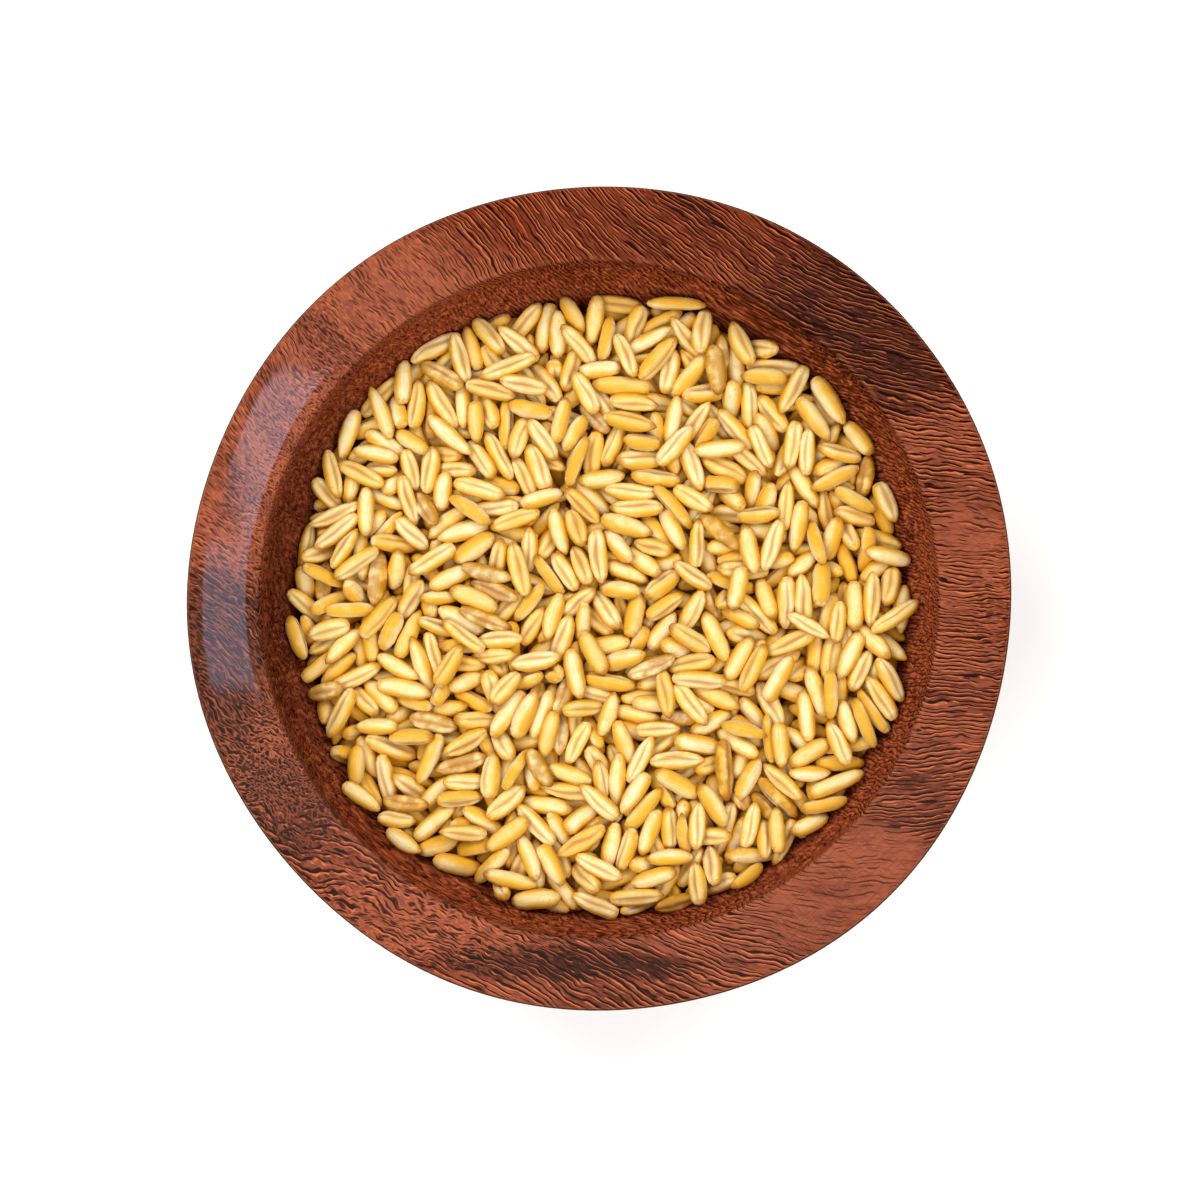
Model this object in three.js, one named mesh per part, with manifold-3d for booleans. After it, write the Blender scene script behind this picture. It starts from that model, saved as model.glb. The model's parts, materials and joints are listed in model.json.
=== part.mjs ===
// A small turned wooden bowl with a broad flat rim, filled with hulless oats to a little below the rim.
// Millimetres, +Z up. The origin is the centre of the bowl's outline, on the surface it stands on.
import * as THREE from 'three';
import { mergeVertices } from 'three/addons/utils/BufferGeometryUtils.js';
import Module from 'manifold-3d';

const wasm = await Module();
wasm.setup();

// The bowl's driving dimensions.
const RIM_RADIUS = 63.5; // mean radius of the outline
const WELL_RADIUS = 52.1; // at the edge between rim and well
const BOWL_HEIGHT = 45;
const WELL_DEPTH = 36;
const RIM_FALL = 0.6; // the rim's outer edge lies this much lower than its inner edge
const OUTER_ROUND = 1.1; // rounding where the rim meets the outside
const LIP_ROUND = 0.7; // rounding where the rim meets the well
const FOOT_RADIUS = 31;
const FOOT_HEIGHT = 3;
const FOOT_RING_WIDTH = 7;
const FOOT_RECESS = 1.5;
const SEGMENTS = 56;
const OUTSIDE_STEPS = 7;
const WELL_STEPS = 5;

// The outline was sanded by hand, so it wanders off a circle. These are the waves round it, with
// the amplitude in mm and the first crest in degrees from +X.
const OUTLINE_WAVES = [
  { count: 2, amplitude: 0.2, crest: -150 },
  { count: 3, amplitude: 0.19, crest: 174 },
  { count: 4, amplitude: 0.07, crest: 129 },
  { count: 5, amplitude: 0.09, crest: -169 },
  { count: 6, amplitude: 0.14, crest: 63 },
];
// The well was turned a little off the outline's centre, towards the lower left of the rim.
const WELL_OFFSET = new THREE.Vector2(-0.2, -0.5);

// The oats' driving dimensions.
const FILL_DEPTH = 11.5; // from the rim down to the level that the top layer lies in
const WALL_GAP = 0.45; // between the oats and the well's wall
const CHORD_ROOM = 0.6; // more at the brim, where the wall's facets cut inside the true curve
const CORE_SEGMENTS = SEGMENTS / 2; // every second facet edge of the wall has one of the core's
const KERNEL_COUNT = 345;
const KERNEL_LENGTH = { least: 6.2, most: 8.8 };
const KERNEL_WIDTH = { least: 2.45, most: 3.05 };
const KERNEL_THICKNESS_RATIO = 0.84; // of its width
const KERNEL_SINK = 0.4; // a kernel's middle lies this much below the level, on average
const HEIGHT_SPREAD = 0.38;
const PITCH_DEGREES = 7;
const ROLL_DEGREES = 14;
const SEED = 20817;

// How the top layer is shaken until its kernels lie side by side.
const SHAKES = 260;
const SPACING = 0.52; // of two kernels' widths together, between their middle lines
const KERNEL_PUSH = 0.25; // share of an overlap that one shake takes out, on each of the two
const WALL_PUSH = 0.7; // share of what sticks out of the well that one shake takes back
const TURN_PUSH = 1.1; // how readily an off-centre push turns a kernel
const MEETING_RANGE = Math.SQRT2 * KERNEL_LENGTH.most; // farther off, in x and y together, none meet
const WELD = 1e-4; // points closer than this are one point

// mulberry32, a small seeded generator of numbers from 0 to 1.
function seededRandom(seed) {
  let state = seed;
  return () => {
    state = (state + 0x6d2b79f5) | 0;
    let t = Math.imul(state ^ (state >>> 15), 1 | state);
    t = (t + Math.imul(t ^ (t >>> 7), 61 | t)) ^ t;
    return ((t ^ (t >>> 14)) >>> 0) / 4294967296;
  };
}

const random = seededRandom(SEED);
const between = ({ least, most }) => least + (most - least) * random();
const spread = (half) => (2 * random() - 1) * half;
const degrees = THREE.MathUtils.degToRad;

// Points of a quarter turn of an ellipse, from its end on the first axis to its end on the second.
function quarterEllipse(centre, acrossRadius, upRadius, steps, start = 0) {
  return Array.from({ length: steps + 1 - start }, (_, i) => {
    const t = ((i + start) / steps) * (Math.PI / 2);
    return new THREE.Vector2(centre.x + acrossRadius * Math.cos(t), centre.y + upRadius * Math.sin(t));
  });
}

// The well's wall as radius and height, from the lip down to the floor, drawn in by an inset.
function wellProfile(inset, start) {
  const centre = new THREE.Vector2(0, BOWL_HEIGHT);
  return quarterEllipse(centre, WELL_RADIUS - inset, inset - WELL_DEPTH, WELL_STEPS, start);
}

function bowlProfile() {
  const rimEdge = BOWL_HEIGHT - RIM_FALL;
  const outside = quarterEllipse(
    new THREE.Vector2(FOOT_RADIUS, rimEdge - OUTER_ROUND),
    RIM_RADIUS - FOOT_RADIUS,
    FOOT_HEIGHT + OUTER_ROUND - rimEdge,
    OUTSIDE_STEPS,
  ).reverse();
  const corner = quarterEllipse(
    new THREE.Vector2(RIM_RADIUS - OUTER_ROUND, rimEdge - OUTER_ROUND), OUTER_ROUND, OUTER_ROUND, 2, 1,
  );
  return [
    new THREE.Vector2(0, FOOT_RECESS),
    new THREE.Vector2(FOOT_RADIUS - FOOT_RING_WIDTH, FOOT_RECESS),
    new THREE.Vector2(FOOT_RADIUS - FOOT_RING_WIDTH + FOOT_RECESS, 0),
    new THREE.Vector2(FOOT_RADIUS, 0),
    ...outside,
    ...corner,
    new THREE.Vector2(WELL_RADIUS + LIP_ROUND, BOWL_HEIGHT),
    new THREE.Vector2(WELL_RADIUS, BOWL_HEIGHT - LIP_ROUND),
    ...wellProfile(0, 1),
  ];
}

function outlineWander(angle) {
  return OUTLINE_WAVES.reduce(
    (sum, wave) => sum + wave.amplitude * Math.cos(wave.count * angle - degrees(wave.crest)), 0,
  );
}

// Turned about +Z: a lathe turns about +Y, so the shape is tipped up afterwards.
function turned(profile, segments) {
  return new THREE.LatheGeometry(profile, segments).rotateX(Math.PI / 2);
}

// 0 in the well and on the foot, 1 at the rim's outer edge: how far a point follows the outline.
function outlineShare(radius, height) {
  const across = THREE.MathUtils.smoothstep(radius, WELL_RADIUS, RIM_RADIUS);
  const up = THREE.MathUtils.smoothstep(height, FOOT_HEIGHT, BOWL_HEIGHT / 2);
  return across * up;
}

function bowlGeometry() {
  const geometry = turned(bowlProfile(), SEGMENTS);
  const points = geometry.getAttribute('position');
  for (let i = 0; i < points.count; i++) {
    const [x, y, z] = [points.getX(i), points.getY(i), points.getZ(i)];
    const radius = Math.hypot(x, y);
    const angle = Math.atan2(y, x);
    const share = outlineShare(radius, z);
    const stretched = radius + share * outlineWander(angle);
    points.setX(i, stretched * Math.cos(angle) + (1 - share) * WELL_OFFSET.x);
    points.setY(i, stretched * Math.sin(angle) + (1 - share) * WELL_OFFSET.y);
  }
  return geometry;
}

// A kernel's cross-sections, back or crease up: angle round it in degrees, and distance from its
// middle as a share of the half width.
const BACK_SECTION = [[0, 1], [58, 1], [122, 1], [180, 1], [270, 0.9]];
const CREASED_SECTION = [[0, 1], [50, 1.06], [90, 0.66], [130, 1.06], [180, 1], [270, 0.9]];
// Along a kernel, from the germ end to the brush end: place and girth, as shares of its half length
// and half width.
const STATIONS = [[-1, 0], [-0.45, 0.97], [0.5, 0.93], [1, 0]];

// A closed kernel of few sides, lying along +X with its upper side towards +Z.
function kernelGeometry(section, length, width) {
  const rings = STATIONS.length - 1;
  const geometry = new THREE.SphereGeometry(1, section.length, rings);
  const points = geometry.getAttribute('position');
  const uv = geometry.getAttribute('uv');
  // A sphere's uv counts the sides and the rings. At the poles it is half a side off, but there the
  // girth is 0, so that any side will do.
  for (let i = 0; i < points.count; i++) {
    const side = Math.round(uv.getX(i) * section.length) % section.length;
    const [place, girth] = STATIONS[Math.round((1 - uv.getY(i)) * rings)];
    const [angle, reach] = section[Math.abs(side)];
    const across = (reach * girth * width * Math.cos(degrees(angle))) / 2;
    const up = (reach * girth * width * KERNEL_THICKNESS_RATIO * Math.sin(degrees(angle))) / 2;
    points.setXYZ(i, (place * length) / 2, across, up);
  }
  return geometry;
}

// Any closed geometry as a manifold-3d solid, turned inside out where its faces point inwards.
function solidOf(geometry) {
  const bare = geometry.clone();
  bare.deleteAttribute('normal');
  bare.deleteAttribute('uv');
  const merged = mergeVertices(bare, WELD);
  const build = (triVerts) =>
    new wasm.Manifold(
      new wasm.Mesh({ numProp: 3, vertProperties: merged.getAttribute('position').array, triVerts }),
    );
  const made = build(new Uint32Array(merged.index.array));
  return made.volume() > 0 ? made : build(new Uint32Array(merged.index.array).reverse());
}

function geometryOf(solid) {
  const mesh = solid.getMesh();
  const geometry = new THREE.BufferGeometry();
  geometry.setAttribute('position', new THREE.BufferAttribute(mesh.vertProperties, 3));
  geometry.setIndex(new THREE.BufferAttribute(mesh.triVerts, 1));
  geometry.computeVertexNormals();
  return geometry;
}

// The well's radius at a height, less the gap.
function roomRadius(height) {
  const down = (BOWL_HEIGHT - height) / (WELL_DEPTH - WALL_GAP);
  return (WELL_RADIUS - WALL_GAP) * Math.sqrt(1 - down * down);
}

const FILL_HEIGHT = BOWL_HEIGHT - FILL_DEPTH;

// The core fills the well below the top layer. It is level on top and follows the wall's own facets.
function coreSolid() {
  const wall = wellProfile(WALL_GAP, 0).filter((point) => point.y < FILL_HEIGHT);
  const brim = new THREE.Vector2(roomRadius(FILL_HEIGHT) - CHORD_ROOM, FILL_HEIGHT);
  const profile = [new THREE.Vector2(0, FILL_HEIGHT), brim, ...wall];
  return solidOf(turned(profile, CORE_SEGMENTS));
}

// Where the two kernels' middle lines come closest: how far along each, and the way from one to the other.
function closest(a, b) {
  const towards = new THREE.Vector2(b.x - a.x, b.y - a.y);
  const [ax, ay, bx, by] = [Math.cos(a.yaw), Math.sin(a.yaw), Math.cos(b.yaw), Math.sin(b.yaw)];
  const cross = ax * bx + ay * by;
  const alongA = towards.x * ax + towards.y * ay;
  const alongB = towards.x * bx + towards.y * by;
  const clamp = THREE.MathUtils.clamp;
  const slant = Math.max(1 - cross * cross, WELD);
  let s = clamp((alongA - cross * alongB) / slant, -a.reach, a.reach);
  const t = clamp(s * cross - alongB, -b.reach, b.reach);
  s = clamp(t * cross + alongA, -a.reach, a.reach);
  const gap = new THREE.Vector2(towards.x + t * bx - s * ax, towards.y + t * by - s * ay);
  return { s, t, gap };
}

// A push at a place along a kernel moves it and turns it, a long one less than a short one.
function push(kernel, along, x, y) {
  const lever = (TURN_PUSH * along) / (kernel.reach * kernel.reach + 1);
  kernel.x += x;
  kernel.y += y;
  kernel.yaw += lever * (Math.cos(kernel.yaw) * y - Math.sin(kernel.yaw) * x);
}

// The top layer in plan: kernels thrown in at random, then shaken apart until they lie side by side.
function shakenLayer() {
  const room = roomRadius(FILL_HEIGHT - KERNEL_WIDTH.least / 2) - CHORD_ROOM;
  const kernels = Array.from({ length: KERNEL_COUNT }, () => {
    const length = between(KERNEL_LENGTH);
    const width = between(KERNEL_WIDTH);
    const [radius, angle] = [Math.sqrt(random()) * (room - width), random() * 2 * Math.PI];
    return {
      length, width, reach: (length - width) / 2,
      x: radius * Math.cos(angle), y: radius * Math.sin(angle), yaw: random() * Math.PI,
    };
  });
  for (let shake = 0; shake < SHAKES; shake++) {
    kernels.forEach((a, i) => {
      for (const b of kernels.slice(i + 1)) {
        if (Math.abs(a.x - b.x) + Math.abs(a.y - b.y) > MEETING_RANGE) continue;
        const { s, t, gap } = closest(a, b);
        const apart = Math.max(gap.length(), WELD);
        const lack = SPACING * (a.width + b.width) - apart;
        if (lack <= 0) continue;
        const [x, y] = [(gap.x / apart) * lack * KERNEL_PUSH, (gap.y / apart) * lack * KERNEL_PUSH];
        push(a, s, -x, -y);
        push(b, t, x, y);
      }
      for (const end of [-a.reach, a.reach]) {
        const [x, y] = [a.x + end * Math.cos(a.yaw), a.y + end * Math.sin(a.yaw)];
        const radius = Math.hypot(x, y);
        const over = Math.max(radius + a.width / 2 - room, 0);
        push(a, end, (-x / radius) * over * WALL_PUSH, (-y / radius) * over * WALL_PUSH);
      }
    });
  }
  return kernels;
}

function kernelSolid({ x, y, yaw, length, width }) {
  const section = random() < 0.5 ? BACK_SECTION : CREASED_SECTION;
  const roll = degrees(spread(ROLL_DEGREES));
  const pitch = degrees(spread(PITCH_DEGREES));
  const heading = random() < 0.5 ? yaw : yaw + Math.PI;
  const height = FILL_HEIGHT - KERNEL_SINK + spread(HEIGHT_SPREAD);
  const place = new THREE.Matrix4()
    .makeRotationFromEuler(new THREE.Euler(roll, pitch, heading, 'ZYX'))
    .setPosition(x, y, height);
  return solidOf(kernelGeometry(section, length, width).applyMatrix4(place));
}

function oatsGeometry() {
  const kernels = shakenLayer().map(kernelSolid);
  return geometryOf(wasm.Manifold.union([coreSolid(), ...kernels]));
}

function part(name, geometry, color, roughness) {
  const material = new THREE.MeshStandardMaterial({ color, roughness, metalness: 0 });
  const mesh = new THREE.Mesh(geometry, material);
  mesh.name = name;
  return mesh;
}

const bowl = part('bowl', bowlGeometry(), '#7a3d25', 0.35);
const oats = part('oats', oatsGeometry(), '#e3c079', 0.55);
oats.position.set(WELL_OFFSET.x, WELL_OFFSET.y, 0);

// The waves put the outline's middle a little off the lathe's axis, and the group brings it back.
const outlineMiddle = new THREE.Box3().setFromObject(bowl).getCenter(new THREE.Vector3());
const filledBowl = new THREE.Group();
filledBowl.add(bowl, oats);
filledBowl.position.set(-outlineMiddle.x, -outlineMiddle.y, 0);
export default filledBowl;
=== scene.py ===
# A small turned bowl of red-brown wood, filled with hulless oats: the finish of the wood, the loose
# kernels, and a photographer's table with soft light. Metres, +Z up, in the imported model's frame.
import json
import math

import bpy
import numpy as np
from mathutils import Matrix, Vector

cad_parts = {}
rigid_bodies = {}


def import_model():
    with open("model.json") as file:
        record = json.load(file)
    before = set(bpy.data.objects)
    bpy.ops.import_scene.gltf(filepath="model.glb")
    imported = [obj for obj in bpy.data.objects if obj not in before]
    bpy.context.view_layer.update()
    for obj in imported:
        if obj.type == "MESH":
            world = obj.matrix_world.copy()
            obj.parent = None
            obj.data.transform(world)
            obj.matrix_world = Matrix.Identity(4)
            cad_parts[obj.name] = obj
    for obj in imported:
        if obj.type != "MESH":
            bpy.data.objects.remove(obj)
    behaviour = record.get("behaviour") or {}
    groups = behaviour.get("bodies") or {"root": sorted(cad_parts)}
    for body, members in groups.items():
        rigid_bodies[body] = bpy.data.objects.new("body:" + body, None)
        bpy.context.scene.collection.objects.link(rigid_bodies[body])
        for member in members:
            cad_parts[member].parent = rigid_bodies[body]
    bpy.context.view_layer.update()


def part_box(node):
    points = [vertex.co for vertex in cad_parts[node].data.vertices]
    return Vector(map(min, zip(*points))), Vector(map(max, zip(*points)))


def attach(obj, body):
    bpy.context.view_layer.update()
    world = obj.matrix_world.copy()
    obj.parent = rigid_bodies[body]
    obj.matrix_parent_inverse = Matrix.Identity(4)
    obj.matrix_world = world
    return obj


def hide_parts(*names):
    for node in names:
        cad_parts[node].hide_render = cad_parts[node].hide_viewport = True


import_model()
MM = 0.001


# ---------------------------------------------------------------------------------------------
# The bowl. One block of open-pored hardwood, turned on a lathe to a half-ellipsoid well inside a
# broad, almost flat rim. The outline was sanded by hand, so it wanders a little off a circle, and
# the rim and the outside were thinly varnished.
# ---------------------------------------------------------------------------------------------
RIM_RADIUS = 63.5 * MM
WELL_RADIUS = 52.1 * MM
BOWL_HEIGHT = 45 * MM
WELL_DEPTH = 36 * MM
RIM_FALL = 0.6 * MM
OUTER_ROUND = 1.1 * MM
LIP_ROUND = 0.7 * MM
FOOT_RADIUS = 31 * MM
FOOT_HEIGHT = 3 * MM
FOOT_RING_WIDTH = 7 * MM
FOOT_RECESS = 1.5 * MM
FOOT_ROUND = 0.5 * MM
OUTLINE_WAVES = ((2, 0.2, -150), (3, 0.19, 174), (4, 0.07, 129), (5, 0.09, -169), (6, 0.14, 63))
WELL_OFFSET = Vector((-0.2, -0.5, 0)) * MM
LATHE_SIDES = 256

# The oats fill the well, so their box's middle is the well's axis, and the rim's axis lies beside it.
oats_low, oats_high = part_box("oats")
well_axis = (oats_low + oats_high) / 2
well_axis.z = 0
rim_axis = well_axis - WELL_OFFSET


class Wire:
    """One socket's value in a node tree. Arithmetic on it adds the Math nodes."""

    def __init__(self, wiring, socket):
        self.wiring = wiring
        self.socket = socket

    def math(self, operation, *values):
        made = self.wiring.node("ShaderNodeMath", {"operation": operation}, {})
        for socket, value in zip(made.inputs, values):
            self.wiring.feed(socket, value)
        return Wire(self.wiring, made.outputs[0])

    def __add__(self, other):
        return self.math("ADD", self, other)

    def __sub__(self, other):
        return self.math("SUBTRACT", self, other)

    def __rsub__(self, other):
        return self.math("SUBTRACT", other, self)

    def __mul__(self, other):
        return self.math("MULTIPLY", self, other)

    def __truediv__(self, other):
        return self.math("DIVIDE", self, other)

    def __pow__(self, other):
        return self.math("POWER", self, other)

    def __abs__(self):
        return self.math("ABSOLUTE", self)

    __radd__ = __add__
    __rmul__ = __mul__

    def called(self, name):
        """Another output of the same node."""
        node = self.socket.node
        return Wire(self.wiring, next(s for s in node.outputs if s.name == name and s.enabled))

    def parts(self):
        """The three numbers of a vector."""
        split = self.wiring.node("ShaderNodeSeparateXYZ", {}, {"Vector": self})
        return [Wire(self.wiring, socket) for socket in split.outputs]


class Wiring:
    """A node tree in the making, of a material or of Geometry Nodes."""

    def __init__(self, tree):
        self.tree = tree

    def feed(self, socket, value):
        if isinstance(value, Wire):
            self.tree.links.new(value.socket, socket)
        else:
            socket.default_value = value

    def node(self, kind, settings, sockets):
        """Any node: its settings are set first, then the values or links of its sockets."""
        made = self.tree.nodes.new(kind)
        for name, value in settings.items():
            setattr(made, name, value)
        for name, value in sockets.items():
            socket = next(s for s in made.inputs if s.identifier == name or (s.name == name and s.enabled))
            self.feed(socket, value)
        return made

    def out(self, kind, settings, sockets):
        """The first output of such a node."""
        made = self.node(kind, settings, sockets)
        return Wire(self, next(s for s in made.outputs if s.enabled))

    def step(self, value, low, high):
        """0 below low, 1 above high and smooth between. With low above high it falls instead."""
        sockets = {"Value": value, "From Min": low, "From Max": high}
        return self.out("ShaderNodeMapRange", {"interpolation_type": "SMOOTHSTEP"}, sockets)

    def mix(self, factor, first, second):
        """A colour between two colours."""
        sockets = {"Factor_Float": factor, "A_Color": first, "B_Color": second}
        made = self.node("ShaderNodeMix", {"data_type": "RGBA"}, sockets)
        return Wire(self, next(s for s in made.outputs if s.enabled))

    def vector(self, x, y, z):
        return self.out("ShaderNodeCombineXYZ", {}, {"X": x, "Y": y, "Z": z})

    def noise(self, place, detail=1.0, roughness=0.5, distortion=0.0):
        sockets = {
            "Vector": place, "Scale": 1.0, "Detail": detail, "Roughness": roughness,
            "Distortion": distortion,
        }
        return self.out("ShaderNodeTexNoise", {}, sockets)


def paint(red, green, blue):
    """A colour as a paint chart gives it, from 0 to 255, as the light that it gives back."""
    return tuple(
        c / 12.92 if c <= 0.04045 else ((c + 0.055) / 1.055) ** 2.4
        for c in (red / 255, green / 255, blue / 255)
    ) + (1.0,)


def material(name):
    """An empty material and its wiring."""
    made = bpy.data.materials.new(name)
    made.use_nodes = True
    made.node_tree.nodes.clear()
    return made, Wiring(made.node_tree)


def quarter_ellipse(centre_r, centre_z, across, up, steps, start=0):
    """Points of a quarter turn, from its end on the first axis to its end on the second."""
    turn = np.linspace(0, math.pi / 2, steps + 1)[start:]
    return [(centre_r + across * math.cos(t), centre_z + up * math.sin(t)) for t in turn]


def bowl_profile():
    """Radius and height, from the middle of the underside round the outside to the well's middle."""
    rim_edge = BOWL_HEIGHT - RIM_FALL
    belly = quarter_ellipse(
        FOOT_RADIUS, rim_edge - OUTER_ROUND,
        RIM_RADIUS - FOOT_RADIUS, FOOT_HEIGHT + OUTER_ROUND - rim_edge, 28,
    )[::-1]
    face_start, face_end = RIM_RADIUS - OUTER_ROUND, WELL_RADIUS + LIP_ROUND
    corner = quarter_ellipse(face_start, rim_edge - OUTER_ROUND, OUTER_ROUND, OUTER_ROUND, 6, 1)
    face = [
        (face_start + (face_end - face_start) * t, rim_edge + RIM_FALL * t) for t in (0.2, 0.4, 0.6, 0.8)
    ]
    lip = quarter_ellipse(face_end, BOWL_HEIGHT - LIP_ROUND, -LIP_ROUND, LIP_ROUND, 5)[::-1]
    well = quarter_ellipse(0, BOWL_HEIGHT, WELL_RADIUS, -WELL_DEPTH, 30, 1)
    inner_foot = FOOT_RADIUS - FOOT_RING_WIDTH
    foot = [
        (0, FOOT_RECESS),
        (inner_foot / 2, FOOT_RECESS),
        (inner_foot, FOOT_RECESS),
        (inner_foot + FOOT_RECESS, 0),
        (FOOT_RADIUS - FOOT_ROUND, 0),
        (FOOT_RADIUS, FOOT_ROUND),
    ]
    return foot + belly + corner + face + lip + [p for p in well if p[1] < BOWL_HEIGHT - LIP_ROUND]


def line_object(name, points):
    """An open line in the XZ plane, which a lathe tree turns round."""
    mesh = bpy.data.meshes.new(name)
    mesh.from_pydata([(r, 0, z) for r, z in points], [(i, i + 1) for i in range(len(points) - 1)], [])
    made = bpy.data.objects.new(name, mesh)
    bpy.context.scene.collection.objects.link(made)
    return made


def geometry_tree(name, inputs):
    """A Geometry Nodes tree with a geometry in and out, and the named inputs as {name: (kind, value)}."""
    tree = bpy.data.node_groups.new(name, "GeometryNodeTree")
    tree.interface.new_socket("Geometry", in_out="INPUT", socket_type="NodeSocketGeometry")
    tree.interface.new_socket("Geometry", in_out="OUTPUT", socket_type="NodeSocketGeometry")
    for label, (kind, value) in inputs.items():
        tree.interface.new_socket(label, in_out="INPUT", socket_type=kind)
    wiring = Wiring(tree)
    entry = wiring.node("NodeGroupInput", {}, {})
    given = {socket.name: Wire(wiring, socket) for socket in entry.outputs if socket.name}
    return wiring, given


def grow(base, tree, inputs):
    """Runs a tree on an object, and leaves the result in it as a plain mesh."""
    modifier = base.modifiers.new("grow", "NODES")
    modifier.node_group = tree
    for item in tree.interface.items_tree:
        if item.item_type == "SOCKET" and item.in_out == "INPUT" and item.name in inputs:
            modifier[item.identifier] = inputs[item.name][1]
    bpy.context.view_layer.update()
    evaluated = base.evaluated_get(bpy.context.evaluated_depsgraph_get())
    mesh = bpy.data.meshes.new_from_object(evaluated)
    base.modifiers.remove(modifier)
    old = base.data
    base.data = mesh
    bpy.data.meshes.remove(old)
    mesh.name = base.name
    return base


def lathe_tree(inputs):
    """Turns a line round the Z axis, lets its outer edge follow the outline's waves, and paints it."""
    wiring, given = geometry_tree("turned_on_the_lathe", inputs)
    spindle = wiring.out(
        "GeometryNodeCurvePrimitiveCircle", {"mode": "RADIUS"},
        {"Resolution": given["Sides"], "Radius": given["Rim radius"]},
    )
    from_spindle = wiring.vector(given["Rim radius"] * -1.0, 0.0, 0.0)
    beside = wiring.out(
        "GeometryNodeTransform", {}, {"Geometry": given["Geometry"], "Translation": from_spindle}
    )
    laid = wiring.out("GeometryNodeTransform", {}, {"Geometry": beside, "Rotation": (math.pi / 2, 0.0, 0.0)})
    line = wiring.out("GeometryNodeMeshToCurve", {}, {"Mesh": laid})
    swept = wiring.out("GeometryNodeCurveToMesh", {}, {"Curve": spindle, "Profile Curve": line})
    welded = wiring.out("GeometryNodeMergeByDistance", {}, {"Geometry": swept, "Distance": 1e-6})

    x, y, z = wiring.out("GeometryNodeInputPosition", {}, {}).parts()
    radius = (x * x + y * y) ** 0.5
    angle = y.math("ARCTAN2", y, x)
    share = wiring.step(radius, given["Well radius"], given["Rim radius"]) * wiring.step(
        z, given["Foot height"], given["Shoulder height"]
    )
    wander = 0.0
    for count, amplitude, crest in OUTLINE_WAVES:
        phase = angle * float(count) - math.radians(crest)
        wander = phase.math("COSINE", phase) * (amplitude * MM) + wander
    stretch = 1.0 + share * wander / radius.math("MAXIMUM", radius, 1e-4)
    own_axis = 1.0 - share
    dx, dy, _ = given["Well offset"].parts()
    moved = wiring.vector(x * stretch + dx * own_axis, y * stretch + dy * own_axis, z)
    shaped = wiring.out("GeometryNodeSetPosition", {}, {"Geometry": welded, "Position": moved})
    placed = wiring.out("GeometryNodeTransform", {}, {"Geometry": shaped, "Translation": given["Axis"]})
    # The sweep leaves the faces pointing inwards.
    outwards = wiring.out("GeometryNodeFlipFaces", {}, {"Mesh": placed})
    smooth = wiring.out("GeometryNodeSetShadeSmooth", {}, {"Geometry": outwards})
    loose = wiring.out("GeometryNodeRealizeInstances", {}, {"Geometry": smooth})
    painted = wiring.out("GeometryNodeSetMaterial", {}, {"Geometry": loose, "Material": given["Finish"]})
    wiring.node("NodeGroupOutput", {}, {"Geometry": painted})
    return wiring.tree


def turned(name, profile, finish):
    inputs = {
        "Sides": ("NodeSocketInt", LATHE_SIDES),
        "Well radius": ("NodeSocketFloat", WELL_RADIUS),
        "Rim radius": ("NodeSocketFloat", RIM_RADIUS),
        "Foot height": ("NodeSocketFloat", FOOT_HEIGHT),
        "Shoulder height": ("NodeSocketFloat", BOWL_HEIGHT / 2),
        "Well offset": ("NodeSocketVector", tuple(WELL_OFFSET)),
        "Axis": ("NodeSocketVector", tuple(rim_axis)),
        "Finish": ("NodeSocketMaterial", finish),
    }
    return grow(line_object(name, profile), lathe_tree(inputs), inputs)


SALMON = paint(143, 74, 51)
RED_BROWN = paint(90, 40, 27)
RUSSET = paint(106, 40, 18)
HEARTWOOD_AND_SHADE = paint(46, 19, 15)
PORE_AND_SHADE = paint(18, 5, 3)
# The bright lines beside the pores are painted highlights; the bright flecks of the well share their colour.
FLECK_AND_GLINT = paint(202, 108, 64)
WELL_BROWN = paint(134, 60, 28)
PALE_EDGE = paint(172, 106, 76)
REFLECTED_VEIL = paint(190, 160, 150)
# Where the colour of the block changes: x, y, half width, half depth in millimetres, and how much.
DARK_PATCHES = (
    (41, 42, 22, 17, 1.0),
    (14, 58, 16, 8, 0.5),
    (-58, -10, 9, 15, 0.9),
    (-50, -33, 10, 8, 0.6),
    (-6, -56.5, 26, 2.6, 0.95),
    (52, -32, 10, 5, 0.35),
)
PALE_PATCHES = (
    (-30, 49, 20, 10, 0.5),
    (58, 9, 8, 9, 0.6),
    (38, -45, 16, 12, 0.9),
    (-60.5, 17, 3, 8, 0.9),
    (-28, -50, 14, 6, 0.5),
)
RUSSET_PATCHES = ((8, 60, 36, 14, 1.0), (-24, 58, 14, 8, 0.5))
CURLY_PATCHES = ((-24, -50, 24, 10, 1.0), (-54, -28, 9, 14, 0.5), (61, -2, 4, 12, 0.6))
# How far the fibres drop for each millimetre to the right: everywhere, more at the middle than at the
# sides, more at the back than at the front, and more again left of the bend.
DROP = 0.45
DROP_MIDDLE = 0.35
DROP_BEHIND = 0.28
DROP_LEFT = 0.4
BEND_LEFT = 45.0
# The lines of the two sets of long pores in each millimetre, and the size of a short pore's cell.
LINES = 1.15
OTHER_LINES = 1.3
TICK_LENGTH = 1.9
TICK_PITCH = 0.42
TICK_DEPTH = 0.8
# How far round a line's own wave its painted highlight lies from the pore.
GLINT_TURN = 1.9


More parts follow.
